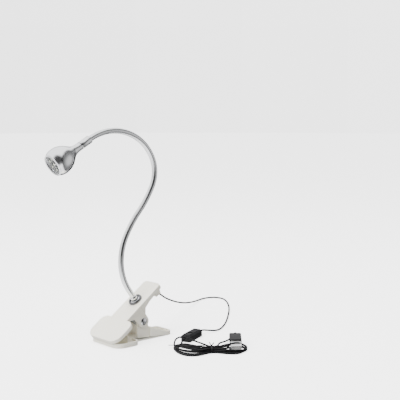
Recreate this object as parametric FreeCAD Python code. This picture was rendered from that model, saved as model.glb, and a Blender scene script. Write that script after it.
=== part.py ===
import FreeCAD, Part
import math
import os
from collections import namedtuple

# Clip-on reading lamp: a spring clip of two plastic levers, a gooseneck and an LED head, with
# its USB lead, inline switch and hank. Millimetres, +Z up. The origin is on the surface that
# the lamp stands on, below the clip's pivot. -X is the jaws' side, +X the handles' side.

Vector = FreeCAD.Vector

# --- Clip levers, given from the pivot axis: s along the lever, h in from its outer face ---
# height: outer face to pivot axis; reach: pivot to jaw tip; handle: pivot to the free end;
# meet: angle from the outer face to the plane through the pivot where the jaws meet
Lever = namedtuple("Lever", "height reach handle meet")
LOWER = Lever(22.2, 47.2, 42.0, 19.4)
UPPER = Lever(18.8, 49.6, 44.1, 16.2)
LEVER_ANGLE = LOWER.meet + UPPER.meet
JAW_LENGTH = 32.4
JAW_WIDTH = 56.0
JAW_FRONT_CORNER = 12.0
JAW_REAR_CORNER = 9.0
NECK_WIDTH = 30.4       # handle width beside the jaw
END_WIDTH = 28.8        # handle width at its free end
END_CORNER = 5.0
PLATE = 2.4
WALL = 2.0
RIM_GAP = 0.2           # rims at the tip to the plane where the jaws meet
EDGE_ROUND = 0.7
CHEEK_OUT = 14.2        # outside of the upper lever's cheeks, from the middle plane
CHEEK_IN = 11.7         # outside of the lower lever's cheeks, which run inside the upper's
CHEEK_WALL = 2.2
BOSS_R = 7.2            # round end of a cheek about the pivot
PIN_R = 2.3
PIN_HEAD_R = 4.3
RUNNING_GAP = 0.08      # radial, lower cheek on the pin
PAD_WIDTH = 44.0
PAD_LENGTH = 16.0
PAD_START = 3.2         # from the jaw tip
PAD_TEETH = 5
PAD_GAP = 0.15          # each pad to the plane where the jaws meet

# --- Wire room, lead exit and gooseneck foot on the upper lever ---
FOOT_S = 12.6           # gooseneck axis, from the pivot along the lever
FOOT_HOLE_R = 4.3
STUD_R = 4.0
STUD_BORE_R = 2.4
STUD_DEPTH = 7.6
RING_OUT_R = 8.2
RING_IN_R = 5.7
RING_HEIGHT = 2.6
NUT_FLATS = 10.0
COVER_FROM_S = 26.6
COVER_TO_S = 35.6
COVER_H = 6.7           # outside of the wire cover
COVER_WALL = 1.0
POST_S = 30.0           # the cover's two screw posts
POST_Y = 9.0
POST_R = 2.2
SCREW_R = 0.9
BLOCK_FROM_S = 36.0
BLOCK_DEPTH = 16.0
BLOCK_HALF = 4.6
EXIT_S = 40.0           # where the exit's bore starts
EXIT_H = 9.0
EXIT_TILT = 71.6        # lead exit, turned from the lever's length towards its inside
GROMMET_SEAT = 6.0      # from the bore's start to the block's face
GROMMET_END = 10.0
# Lead inside the upper lever, (s, h): grommet end, under the cover, round into the hollow stud
ROOM_ROUTE = [(43.16, 18.49), (38.2, 3.52), (23.6, 3.52), (21.0, 9.0), (16.6, 13.6),
              (12.6, 10.5), (12.6, -2.0)]

# --- Gooseneck ---
HOSE_R = 3.2
HOSE_BORE_R = 2.4
CORE_R = 1.05           # lead inside the hose
JOINT_HALF_GAP = 1.0    # each link ends this far from its joint
LINK_EDGE = 0.5
TIP_IN_COLLAR = 8.8     # straight end of the hose inside the head's collar
# (length, turn in degrees) of the foot, the seven links and the stub at the head
NECK_RUNS = [(16.0, 0.5), (33.5, -33.5), (33.5, -30.5), (33.5, -14.5), (33.5, 15.5),
             (33.5, 51.0), (33.5, 36.0), (33.5, 29.0), (34.5, 30.0)]

# --- Lamp head, d along its axis from the seam between the collar and the shell ---
COLLAR_R = 4.5
COLLAR_LENGTH = 14.4
HEAD_R = 15.2
HEAD_MID = 31.0         # the widest place
HEAD_MOUTH = 40.0
MOUTH_R = 12.6
SHELL_WALL = 1.1
LED_COUNT = 7
LED_RING_R = 6.6
LED_R = 1.9

# --- Lead, switch, hank and plug ---
CORD_R = 1.0
# Lead from the clip to the switch: down to the surface, then a loose loop along it
LEAD_ROUTE = [(34.9, 0.0, 47.5), (42.2, 0.0, 42.2), (57.0, 11.0, 36.0), (74.0, 25.0, 29.5),
              (99.0, 46.0, 20.5), (123.0, 61.0, 13.0), (150.0, 79.0, 6.5), (175.0, 95.0, 2.2),
              (197.0, 105.5, 1.1), (213.5, 102.0, 1.1), (218.0, 86.0, 1.1), (205.0, 64.0, 1.1),
              (184.0, 38.0, 1.1), (154.0, 8.0, 1.1), (125.0, -18.5, 1.1), (104.0, -34.0, 1.1),
              (90.0, -40.5, 1.5), (79.5, -39.5, 3.2), (70.2, -35.0, 4.6), (60.1, -39.5, 4.6)]
SWITCH_AT = (45.5, -46.0)
SWITCH_TURN = 24.0
SWITCH_LENGTH = 32.0
SWITCH_WIDTH = 12.0
SWITCH_HEIGHT = 9.0
SWITCH_SPLIT = 5.1
ENTRY_HEIGHT = 4.6      # the lead's axis at both ends of the switch
BUTTON_TRAVEL = 1.0
BOARD_LENGTH = 17.6     # switch board, between the two screw posts
TAIL_ROUTE = [(30.9, -52.5, 4.6), (24.5, -55.4, 4.4), (18.6, -59.4, 3.2), (14.0, -65.0, 2.4)]
HANK_AT = (33.0, -93.0)
HANK_TURN = -38.0       # its length runs this way
HANK_HALF = 41.5
HANK_HEIGHT = 4.6
TIE_OFFSET = -12.5      # the tie, across from the middle of the hank's box
TIE_HEIGHT = 7.4
END_ROUTE = [(50.0, -89.5, 3.4), (57.0, -88.0, 3.0), (65.0, -84.5, 2.2), (72.0, -80.5, 1.5),
             (77.5, -79.0, 2.6), (80.6, -81.2, 5.6), (79.0, -84.2, 9.2), (74.8, -87.7, 9.8),
             (70.1, -93.1, 9.0)]
PLUG_AT = (58.0, -107.0)
PLUG_TURN = -131.0
PLUG_HEIGHT = 5.7       # axis at the overmould's front face; the plug lies in the right lobe
PLUG_DIP = 10.0         # nose down
PLUG_ROOM = 0.4         # hank to plug
OVERMOULD = (19.0, 13.6, 7.6)
USB_SHELL = (18.7, 12.0, 4.5)
USB_WALL = 0.32

os.makedirs("parts", exist_ok=True)


def save(name, shape):
    """Write one node's solids, turned and moved into the part's own frame already."""
    if not shape.isValid():
        raise ValueError(name + " is not a valid shape")
    shape.exportStep("parts/" + name + ".step")
    print("%-22s %d solid(s) %9.1f mm3" % (name, len(shape.Solids), shape.Volume))


def vec(x, y=0.0, z=0.0):
    return Vector(x, y, z)


def wire_of(points, arcs=()):
    """A closed wire through points; arcs maps the index of an edge to its middle point."""
    middles = dict(arcs)
    edges = []
    for i, point in enumerate(points):
        following = points[(i + 1) % len(points)]
        if i in middles:
            edges.append(Part.Arc(point, middles[i], following).toShape())
        else:
            edges.append(Part.LineSegment(point, following).toShape())
    return Part.Wire(edges)


def prism(points, direction, arcs=()):
    return Part.Face(wire_of(points, arcs)).extrude(direction)


def turned_profile(points, arcs=()):
    """Solid of revolution about +Z from (radius, height) points and arc middles."""
    corners = [vec(r, 0, z) for r, z in points]
    middles = {i: vec(r, 0, z) for i, (r, z) in dict(arcs).items()}
    face = Part.Face(wire_of(corners, middles))
    return face.revolve(vec(0), vec(0, 0, 1), 360).removeSplitter()


def cap_middle(radius, z_edge, z_top):
    """Middle of the arc from (radius, z_edge) to the axis at z_top, as on a sphere's cap."""
    rise = z_top - z_edge
    sphere = (radius ** 2 + rise ** 2) / (2 * rise)
    half = math.asin(radius / sphere) / 2
    return sphere * math.sin(half), z_top - sphere + sphere * math.cos(half)


def ring(r_in, r_out, z_low, z_high, edge=0.0):
    """A washer-like ring about +Z, with its outer edges broken by edge."""
    points = [(r_in, z_low), (r_out - edge, z_low), (r_out, z_low + edge),
              (r_out, z_high - edge), (r_out - edge, z_high), (r_in, z_high)]
    if edge == 0.0:
        points = [(r_in, z_low), (r_out, z_low), (r_out, z_high), (r_in, z_high)]
    return turned_profile(points)


def box(x, y, z, corner):
    return Part.makeBox(x, y, z, vec(*corner))


def rounded_rect(x_low, x_high, half_low, half_high, corner_low, corner_high, z):
    """Face outline with half widths at both ends, and arcs at its four corners."""
    xa, ha, ca = x_low, half_low, corner_low
    xb, hb, cb = x_high, half_high, corner_high
    k = 1.0 - math.sqrt(0.5)
    points = [vec(xa, -ha + ca, z), vec(xa, ha - ca, z), vec(xa + ca, ha, z), vec(xb - cb, hb, z),
              vec(xb, hb - cb, z), vec(xb, -hb + cb, z), vec(xb - cb, -hb, z), vec(xa + ca, -ha, z)]
    arcs = {1: vec(xa + k * ca, ha - k * ca, z), 3: vec(xb - k * cb, hb - k * cb, z),
            5: vec(xb - k * cb, -hb + k * cb, z), 7: vec(xa + k * ca, -ha + k * ca, z)}
    return Part.Face(wire_of(points, arcs))


def lever_outline(lever, inset, z):
    """Jaw and handle in plan, each moved in by inset."""
    half = JAW_WIDTH / 2 - inset
    jaw = rounded_rect(-lever.reach + inset, -lever.reach + JAW_LENGTH - inset, half, half,
                       JAW_FRONT_CORNER - inset, JAW_REAR_CORNER - inset, z)
    grip = rounded_rect(-lever.reach + JAW_LENGTH / 2, lever.handle - inset, NECK_WIDTH / 2 - inset,
                        END_WIDTH / 2 - inset, 1.0, END_CORNER - inset, z)
    return jaw.fuse(grip).removeSplitter()


def side_profile(lever, points, half):
    """Prism across the lever from (s, h) points."""
    corners = [vec(s, -half, h - lever.height) for s, h in points]
    return prism(corners, vec(0, 2 * half, 0))


def cheek(lever, front, back, outside, side):
    """One cheek: a plate from the lever to a round boss on the pivot axis."""
    h = lever.height
    points = [vec(s, 0, z - h) for s, z in front] + [vec(-BOSS_R, 0, 0), vec(BOSS_R, 0, 0)]
    points += [vec(s, 0, z - h) for s, z in back]
    arcs = {len(front): vec(0, 0, BOSS_R)}
    low = outside - CHEEK_WALL if side > 0 else -outside
    plate = prism(points, vec(0, CHEEK_WALL, 0), arcs)
    plate.translate(vec(0, low, 0))
    return plate


def soften(shape, test, radius):
    """Round the edges that pass the test, or leave them if the rounding fails."""
    edges = [e for e in shape.Edges if test(e)]
    try:
        rounded = shape.makeFillet(radius, edges)
        return rounded if rounded.isValid() and rounded.Volume > 0 else shape
    except Exception as error:
        print("edge rounding left out:", error)
        return shape


def tray(lever, wall_tops):
    """A lever's plate with its rim, trimmed to the height of the side walls."""
    depth = 14.0
    floor = -lever.height
    body = lever_outline(lever, 0.0, floor).extrude(vec(0, 0, depth))
    body = soften(body, lambda e: e.BoundBox.ZMax < floor + 0.01, EDGE_ROUND)
    room = lever_outline(lever, WALL, floor + PLATE).extrude(vec(0, 0, depth))
    shell = body.cut(room)
    jaw_end = -lever.reach + JAW_LENGTH
    rim = lever.height - lever.reach * math.tan(math.radians(lever.meet)) - RIM_GAP
    top = [(-lever.reach - 1, rim), (jaw_end + 0.6, rim), (jaw_end + 0.7, wall_tops[0][1])]
    ends = [(lever.handle + 1, wall_tops[-1][1]), (lever.handle + 1, -1)]
    kept = side_profile(lever, [(-lever.reach - 1, -1)] + top + wall_tops + ends, JAW_WIDTH)
    return shell.common(kept)


def across(radius, half, s=0.0, z=0.0):
    """Cylinder along Y through the lever."""
    return Part.makeCylinder(radius, 2 * half, vec(s, -half, z), vec(0, 1, 0))


def jaw_ribs(lever):
    """Low ribs that carry the pad across the jaw."""
    corner_s = -lever.reach + PAD_START + 0.8
    low = -lever.height + PLATE - 0.05
    ribs = box(PAD_LENGTH - 4.0, 2.0, 1.2, (corner_s, -9.0, low))
    return ribs.fuse(box(PAD_LENGTH - 4.0, 2.0, 1.2, (corner_s, 7.0, low)))


def jaw_pad(lever):
    """Rubber pad: a wedge from the plate to the plane where the jaws meet, ribbed across."""
    slope = math.tan(math.radians(lever.meet))
    start = -lever.reach + PAD_START
    half = PAD_WIDTH / 2
    low = -lever.height + PLATE + 0.02
    points = [vec(start, -half, low)]
    step = PAD_LENGTH / PAD_TEETH
    for i in range(PAD_TEETH):
        s0 = start + i * step
        s1 = s0 + step
        points.append(vec(s0, -half, s0 * slope - PAD_GAP))
        points.append(vec(s1 - 1.0, -half, (s1 - 1.0) * slope - PAD_GAP))
        if i < PAD_TEETH - 1:
            points.append(vec(s1 - 1.0, -half, (s1 - 1.0) * slope - PAD_GAP - 0.8))
            points.append(vec(s1, -half, s1 * slope - PAD_GAP - 0.8))
    points.append(vec(start + PAD_LENGTH - 1.0, -half, low))
    pad = prism(points, vec(0, PAD_WIDTH, 0))
    plan = lever_outline(lever, WALL + 0.4, -lever.height).extrude(vec(0, 0, 2 * lever.height))
    return pad.common(plan).cut(jaw_ribs(lever))


def place_lower(shape):
    placed = shape.copy()
    placed.translate(vec(0, 0, LOWER.height))
    return placed


def place_upper(shape):
    """Mirror a lever-frame shape to the upper lever and tilt it about the pivot."""
    placed = shape.mirror(vec(0), vec(0, 0, 1))
    placed.rotate(vec(0), vec(0, 1, 0), -LEVER_ANGLE)
    placed.translate(vec(0, 0, LOWER.height))
    return placed


def foot_frame(shape):
    """From a foot frame (+Z out of the upper lever along the gooseneck) to the part's frame."""
    placed = shape.copy()
    placed.rotate(vec(0), vec(1, 0, 0), 180)
    placed.translate(vec(FOOT_S, 0, -UPPER.height))
    return place_upper(placed)


def hexagon(flats, z_low, height):
    corner = flats / math.sqrt(3)
    points = [vec(corner * math.cos(math.radians(60 * i)), corner * math.sin(math.radians(60 * i)), z_low)
              for i in range(6)]
    return prism(points, vec(0, 0, height))


# ---------------------------------------------------------------- clip
def build_clip():
    upper_rear = -UPPER.reach + JAW_LENGTH
    lower_rear = -LOWER.reach + JAW_LENGTH
    upper_floor = -UPPER.height
    lower_floor = -LOWER.height
    upper_walls = [(7.3, 12.8), (11.2, 7.5), (20.0, 5.5), (29.0, 4.8), (36.0, 4.8)]
    lower_walls = [(9.4, 13.5), (34.0, 5.2)]
    upper = tray(UPPER, upper_walls)
    lower = tray(LOWER, lower_walls)

    # Both levers are open between the jaw and the cheeks, and beside the cheeks
    wide = JAW_WIDTH + 2
    upper_gap = 7.0 - upper_rear - 0.5
    lower_gap = 9.4 - lower_rear - 0.5
    upper = upper.cut(box(upper_gap, wide, 30, (upper_rear + 0.5, -wide / 2, upper_floor + PLATE)))
    lower = lower.cut(box(lower_gap, wide, 30, (lower_rear + 0.5, -wide / 2, lower_floor + PLATE)))
    upper_front = [(upper_rear + 0.8, 0.8), (upper_rear + 0.8, 3.2), (-7.6, 8.0)]
    upper_back = [(7.3, 12.8), (11.2, 7.5), (20.0, 5.5), (20.0, 0.8)]
    lower_front = [(-BOSS_R, 0.8)]
    lower_back = [(9.0, 13.0), (19.0, 7.6), (19.0, 0.8)]
    for side in (-1, 1):
        upper = upper.fuse(cheek(UPPER, upper_front, upper_back, CHEEK_OUT, side))
        lower = lower.fuse(cheek(LOWER, lower_front, lower_back, CHEEK_IN, side))
        bridge = NECK_WIDTH / 2 - 1.0 - CHEEK_IN + CHEEK_WALL
        low = CHEEK_IN - CHEEK_WALL if side > 0 else -NECK_WIDTH / 2 + 1.0
        lower = lower.fuse(box(1.8, bridge, 9.6, (10.0, low, lower_floor + 1)))

    # Stiffening ribs under the lower handle, and the ribs under both pads
    for y in (-5.2, 4.2):
        lower = lower.fuse(box(20.0, 1.0, 2.2, (20.0, y, lower_floor + PLATE - 0.1)))
    upper = upper.fuse(jaw_ribs(UPPER))
    lower = lower.fuse(jaw_ribs(LOWER))

    # Lead exit block at the upper lever's free end, cut square to the exit, and its channel
    tilt = math.radians(EXIT_TILT)
    face_s = EXIT_S + GROMMET_SEAT * math.cos(tilt)
    face_h = EXIT_H + GROMMET_SEAT * math.sin(tilt)
    block_end = UPPER.handle - 0.4
    corner_h = face_h - (block_end - face_s) / math.tan(tilt)
    corner_s = face_s - (BLOCK_DEPTH - face_h) * math.tan(tilt)
    outline = [(BLOCK_FROM_S, 1.0), (BLOCK_FROM_S, BLOCK_DEPTH), (corner_s, BLOCK_DEPTH),
               (block_end, corner_h), (block_end, 1.0)]
    block = side_profile(UPPER, outline, BLOCK_HALF)
    block = soften(block, lambda e: abs(e.BoundBox.YLength) < 0.01 and e.BoundBox.ZMin > 5 - UPPER.height, 0.8)
    upper = upper.fuse(block)
    for y in (-POST_Y, POST_Y):
        post = Part.makeCylinder(POST_R, COVER_H - COVER_WALL - 1, vec(POST_S, y, upper_floor + 1))
        pilot = Part.makeCylinder(SCREW_R, 4.0, vec(POST_S, y, upper_floor + PLATE - 0.6))
        upper = upper.fuse(post).cut(pilot)
    upper = upper.cut(box(6.0, 2.6, EXIT_H - PLATE, (BLOCK_FROM_S - 0.1, -1.3, upper_floor + PLATE)))
    upper = upper.cut(Part.makeCylinder(FOOT_HOLE_R, 8, vec(FOOT_S, 0, upper_floor - 1)))
    exit_at = vec(EXIT_S, 0, EXIT_H - UPPER.height)
    exit_way = vec(math.cos(tilt), 0, math.sin(tilt))
    bore_from = exit_at.sub(vec(1.6 * exit_way.x, 0, 1.6 * exit_way.z))
    upper = upper.cut(Part.makeCylinder(2.3, 17.6, bore_from, exit_way))

    pin_hole = across(PIN_R, 20)
    lower_hole = across(PIN_R + RUNNING_GAP, 20)
    save("upper_lever", place_upper(upper.cut(pin_hole).removeSplitter()))
    save("lower_lever", place_lower(lower.cut(lower_hole).removeSplitter()))
    save("upper_jaw_pad", place_upper(jaw_pad(UPPER)))
    save("lower_jaw_pad", place_lower(jaw_pad(LOWER)))

    build_pivot()
    build_spring()
    build_lead_exit(exit_at, exit_way)


def build_pivot():
    """Rivet through both cheeks: shank and domed head, with a washer and set cap opposite."""
    half = CHEEK_OUT
    head = turned_profile([(0, 0), (PIN_HEAD_R, 0), (PIN_HEAD_R, 0.7), (0, 1.9)],
                          {2: cap_middle(PIN_HEAD_R, 0.7, 1.9)})
    near = head.copy()
    near.rotate(vec(0), vec(1, 0, 0), 90)
    near.translate(vec(0, -half, 0))
    pin = near.fuse(Part.makeCylinder(PIN_R, 2 * half + 1.4, vec(0, -half, 0), vec(0, 1, 0)))
    save("pivot_rivet", place_lower(pin.removeSplitter()))
    cap = turned_profile([(PIN_R, 0), (PIN_HEAD_R, 0), (PIN_HEAD_R, 0.7), (PIN_R, 1.3)],
                         {2: (PIN_HEAD_R * 0.82, 1.15)})
    cap.rotate(vec(0), vec(1, 0, 0), -90)
    cap.translate(vec(0, half, 0))
    save("rivet_cap", place_lower(cap))


def build_spring():
    """Torsion spring: turns about the rivet, one leg along each handle."""
    wire, turns, mean = 0.8, 8, 3.9
    pitch = 2 * wire + 0.08
    start = -turns * pitch / 2
    inner = mean - wire + 0.25
    points = [(inner, start)]
    arcs = {}
    for i in range(turns):
        arcs[len(points)] = (mean + wire, start + (i + 0.5) * pitch)
        points.append((mean + 0.35, start + i * pitch))
    points.append((mean + 0.35, start + turns * pitch))
    points.append((inner, start + turns * pitch))
    coil = turned_profile(points, arcs)
    coil.rotate(vec(0), vec(1, 0, 0), -90)

    def leg(lever, y, to_s):
        """Straight leg, tangent to the turns, that ends on a handle's inner face."""
        end = vec(to_s, y, PLATE + wire + 0.02 - lever.height)
        reach = math.hypot(end.x, end.z)
        along = math.atan2(end.z, end.x) - math.acos(mean / reach)
        touch = vec(mean * math.cos(along), y, mean * math.sin(along))
        way = end.sub(touch)
        straight = Part.makeCylinder(0.96 * wire, way.Length, touch, way)
        return straight.fuse(Part.makeSphere(wire, end)).fuse(Part.makeSphere(wire, touch))

    upper_leg = leg(UPPER, start + wire, 21.5)
    save("torsion_spring", place_lower(coil).fuse(place_upper(upper_leg)).removeSplitter())
    tail_y = 1.1 * pitch - start
    section = Part.Face(Part.Wire([Part.makeCircle(wire, vec(mean, tail_y, 0), vec(0, 0, 1))]))
    turn = section.revolve(vec(0, tail_y, 0), vec(0, 1, 0), 360)
    save("spring_tail", place_lower(turn.fuse(leg(LOWER, tail_y, 24.0))))


def build_lead_exit(exit_at, exit_way):
    """Ribbed grommet in the exit block, the cover over the wire room and the lead in it."""
    height = GROMMET_SEAT + 0.8
    points = [(CORD_R, 0.6), (2.3, 0.6), (2.3, GROMMET_SEAT), (2.9, GROMMET_SEAT), (2.9, height)]
    for i in range(2):
        radius = 2.3 - 0.3 * i
        points += [(radius - 0.35, height), (radius - 0.35, height + 0.7), (radius, height + 0.7),
                   (radius, height + 1.6)]
        height += 1.6
    points += [(CORD_R, GROMMET_END)]
    grommet = turned_profile(points)
    spin = FreeCAD.Rotation(vec(0, 0, 1), exit_way)
    grommet.Placement = FreeCAD.Placement(exit_at, spin)
    save("cord_grommet", place_upper(grommet))
    route = [(s, 0.0, h - UPPER.height) for s, h in ROOM_ROUTE]
    save("room_lead", place_upper(tube_along("room_lead", route)))

    half = 12.0
    top = COVER_H - UPPER.height
    cover = box(COVER_TO_S - COVER_FROM_S, 2 * half, COVER_WALL, (COVER_FROM_S, -half, top - COVER_WALL))
    screws = []
    for y in (-POST_Y, POST_Y):
        cover = cover.cut(Part.makeCylinder(SCREW_R + 0.4, 4, vec(POST_S, y, top - 3)))
        shank = Part.makeCylinder(SCREW_R, 3.4, vec(POST_S, y, top - 3.4))
        head = turned_profile([(0, 0), (2.1, 0), (2.1, 0.5), (0, 1.1)], {2: cap_middle(2.1, 0.5, 1.1)})
        head.translate(vec(POST_S, y, top))
        screw = shank.fuse(head)
        slot = box(3.2, 0.5, 0.6, (POST_S - 1.6, y - 0.25, top + 0.6))
        cross = box(0.5, 3.2, 0.6, (POST_S - 0.25, y - 1.6, top + 0.6))
        screws.append(place_upper(screw.cut(slot).cut(cross).removeSplitter()))
    save("wire_cover", place_upper(cover))
    save("cover_screws", Part.makeCompound(screws))


# ---------------------------------------------------------------- gooseneck
def neck_stations():
    """Start point and heading of each run, and the end: (x, z, heading in degrees)."""
    tilt = math.radians(LEVER_ANGLE)
    x = FOOT_S * math.cos(tilt) - UPPER.height * math.sin(tilt)
    z = LOWER.height + FOOT_S * math.sin(tilt) + UPPER.height * math.cos(tilt)
    heading = 90.0 + LEVER_ANGLE
    stations = [(x, z, heading)]
    for length, turn in NECK_RUNS:
        x, z, heading = along_run(x, z, heading, length, turn, length)
        stations.append((x, z, heading))
    return stations


def along_run(x, z, heading, length, turn, distance):
    """The place and heading at a distance along a run of constant curvature."""
    half = math.radians(turn * distance / length) / 2
    chord = distance * (math.sin(half) / half if abs(half) > 1e-9 else 1.0)
    way = math.radians(heading) + half
    return x + chord * math.cos(way), z + chord * math.sin(way), heading + turn * distance / length


def hose(station, run, start, end, outer, bore, straight=0.0):
    """Round tube along part of a run and a straight stretch after it; bore 0 makes it solid."""
    x, z, heading = station
    length, turn = run
    ax, az, a_heading = along_run(x, z, heading, length, turn, start)
    mx, mz, _ = along_run(x, z, heading, length, turn, (start + end) / 2)
    bx, bz, b_heading = along_run(x, z, heading, length, turn, end)
    edges = [Part.Arc(vec(ax, 0, az), vec(mx, 0, mz), vec(bx, 0, bz)).toShape()]
    if straight > 0:
        out = math.radians(b_heading)
        tip = vec(bx + straight * math.cos(out), 0, bz + straight * math.sin(out))
        edges.append(Part.LineSegment(vec(bx, 0, bz), tip).toShape())
    path = Part.Wire(edges)
    way = vec(math.cos(math.radians(a_heading)), 0, math.sin(math.radians(a_heading)))

    def swept(radius):
        circle = Part.Wire([Part.makeCircle(radius, vec(ax, 0, az), way)])
        return path.makePipeShell([circle], True, False)

    solid = swept(outer)
    if bore > 0:
        solid = solid.cut(swept(bore))
    return solid


def broken_ends(shape, points, edge):
    """Round a hose piece's outer end edges near the given points."""
    def at_end(e):
        if e.Curve.TypeId != "Part::GeomCircle" or abs(e.Curve.Radius - HOSE_R) > 0.01:
            return False
        return any(e.Curve.Center.sub(p).Length < 0.2 for p in points)
    return soften(shape, at_end, edge)


def build_neck():
    stations = neck_stations()
    last = len(NECK_RUNS) - 1
    for i, run in enumerate(NECK_RUNS):
        x, z, heading = stations[i]
        start = JOINT_HALF_GAP if i > 0 else 2.0
        end = run[0] - (JOINT_HALF_GAP if i < last else 0.0)
        straight = 0.0 if i < last else TIP_IN_COLLAR
        tube = hose(stations[i], run, start, end, HOSE_R, HOSE_BORE_R, straight)
        ends = []
        if i > 0:
            ax, az, _ = along_run(x, z, heading, run[0], run[1], start)
            ends.append(vec(ax, 0, az))
        if i < last:
            bx, bz, _ = along_run(x, z, heading, run[0], run[1], end)
            ends.append(vec(bx, 0, bz))
        name = "neck_foot" if i == 0 else "neck_tip" if i == last else "neck_link_%d" % i
        save(name, broken_ends(tube, ends, LINK_EDGE))
        core = hose(stations[i], run, start, end, CORE_R, 0.0, straight)
        save(name.replace("neck", "neck_lead"), core)
    for i, (x, z, heading) in enumerate(stations):
        print("neck station %d: x %.3f z %.3f heading %.2f" % (i, x, z, heading))

    washer = turned_profile([(RING_IN_R, 0), (RING_OUT_R, 0), (RING_OUT_R, 1.2), (RING_OUT_R - 1.0, RING_HEIGHT),
                             (RING_IN_R + 0.4, RING_HEIGHT), (RING_IN_R, 2.0)],
                            {2: (RING_OUT_R - 0.3, 2.2)})
    save("foot_ring", foot_frame(washer))
    ferrule = turned_profile([(HOSE_R, 2.0), (HOSE_BORE_R, 2.0), (HOSE_BORE_R, 0.0), (5.4, 0.0), (5.4, 1.5),
                              (4.5, 1.9), (4.3, 5.6), (3.9, 6.4), (HOSE_R, 6.4)])
    save("foot_ferrule", foot_frame(ferrule))
    stud = ring(STUD_BORE_R, STUD_R, -STUD_DEPTH, 0.0, 0.4)
    for i in range(5):
        groove = ring(STUD_R - 0.35, STUD_R + 1, -STUD_DEPTH + 0.5 + i * 0.9, -STUD_DEPTH + 0.9 + i * 0.9)
        stud = stud.cut(groove)
    save("foot_stud", foot_frame(stud.removeSplitter()))
    spring_washer = ring(STUD_R + 0.1, 7.0, -PLATE - 0.9, -PLATE, 0.2)
    save("foot_washer", foot_frame(spring_washer))
    nut = hexagon(NUT_FLATS, -PLATE - 4.3, 3.4).cut(Part.makeCylinder(STUD_R, 20, vec(0, 0, -15)))
    save("foot_nut", foot_frame(nut))
    return stations[-1]


# ---------------------------------------------------------------- head
def head_frame(shape, tip):
    """From the head's own frame (+Z along its axis from the collar seam) to the part's frame."""
    x, z, heading = tip
    way = vec(math.cos(math.radians(heading)), 0, math.sin(math.radians(heading)))
    origin = vec(x, 0, z).add(way * COLLAR_LENGTH)
    placed = shape.copy()
    turn = FreeCAD.Rotation(vec(0, 1, 0), 90.0 - heading)
    placed.Placement = FreeCAD.Placement(origin, turn).multiply(placed.Placement)
    return placed


def build_head(tip):
    outer_points = [(3.0, 0.4), (COLLAR_R - 0.1, 0.4), (COLLAR_R, 2.0), (9.2, 16.0), (HEAD_R, HEAD_MID),
                    (MOUTH_R, HEAD_MOUTH)]
    outer_arcs = {2: (5.7, 10.2), 3: (13.0, 22.6), 4: (14.6, 36.3)}
    w = SHELL_WALL
    inner_points = [(MOUTH_R - w, HEAD_MOUTH), (HEAD_R - w, HEAD_MID), (9.2 - w, 17.0), (COLLAR_R - 1.4, 3.6),
                    (3.0, 3.6)]
    inner_arcs = {6: (14.6 - w, 36.0), 7: (13.0 - w, 23.2), 8: (5.6 - w, 10.8)}
    arcs = dict(outer_arcs)
    arcs.update(inner_arcs)
    shell = turned_profile(outer_points + inner_points, arcs)
    save("head_shell", head_frame(shell, tip))

    collar = turned_profile([(HOSE_R, -COLLAR_LENGTH), (COLLAR_R - 0.5, -COLLAR_LENGTH),
                             (COLLAR_R, -COLLAR_LENGTH + 0.6), (COLLAR_R, -0.3), (COLLAR_R - 0.3, 0.0),
                             (2.9, 0.0), (2.9, 3.0), (1.6, 3.0), (1.6, -5.4), (HOSE_R, -5.4)])
    save("head_collar", head_frame(collar, tip))

    bezel = turned_profile([(MOUTH_R - 1.1, 37.4), (MOUTH_R - 0.25 - 1.0, 40.0), (MOUTH_R, 40.0),
                            (MOUTH_R - 0.2, 40.9), (MOUTH_R - 1.4, 41.3), (MOUTH_R - 1.9, 40.6),
                            (MOUTH_R - 1.9, 37.4)])
    save("lens_ring", head_frame(bezel, tip))
    lens = turned_profile([(0, 39.2), (MOUTH_R - 2.0, 39.2), (MOUTH_R - 2.0, 41.0), (0, 43.4)],
                          {2: cap_middle(MOUTH_R - 2.0, 41.0, 43.4)})
    save("lens", head_frame(lens, tip))

    plate_r = MOUTH_R - 2.1
    plate = Part.makeCylinder(plate_r, 2.4, vec(0, 0, 36.6))
    leds = []
    places = [(0.0, 0.0)]
    for i in range(LED_COUNT - 1):
        angle = 2 * math.pi * i / (LED_COUNT - 1)
        places.append((LED_RING_R * math.cos(angle), LED_RING_R * math.sin(angle)))
    for x, y in places:
        cup = Part.makeCone(LED_R + 0.1, LED_R + 0.9, 1.5, vec(x, y, 37.5))
        plate = plate.cut(cup).cut(Part.makeCylinder(LED_R + 0.1, 2.4, vec(x, y, 36.0)))
        dome = turned_profile([(0, 36.3), (LED_R, 36.3), (LED_R, 37.3), (0, 38.6)],
                              {2: cap_middle(LED_R, 37.3, 38.6)})
        dome.translate(vec(x, y, 0))
        leds.append(head_frame(dome, tip))
    save("led_reflector", head_frame(plate.removeSplitter(), tip))
    save("led_lamps", Part.makeCompound(leds))
    board = Part.makeCylinder(plate_r + 0.6, 1.2, vec(0, 0, 35.1))
    save("led_board", head_frame(board, tip))
    sink = ring(0.0, 10.6, 31.6, 35.1, 0.6)
    for i in range(6):
        fin = box(1.2, 30, 2.2, (-0.6 + (i - 2.5) * 3.2, -15, 31.5))
        sink = sink.cut(fin)
    save("heat_sink", head_frame(sink.removeSplitter(), tip))
    leads = []
    for y in (-1.0, 1.0):
        leads.append(head_frame(Part.makeCylinder(0.5, 36.4, vec(0, y, -5.0)), tip))
    save("head_leads", Part.makeCompound(leads))


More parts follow.
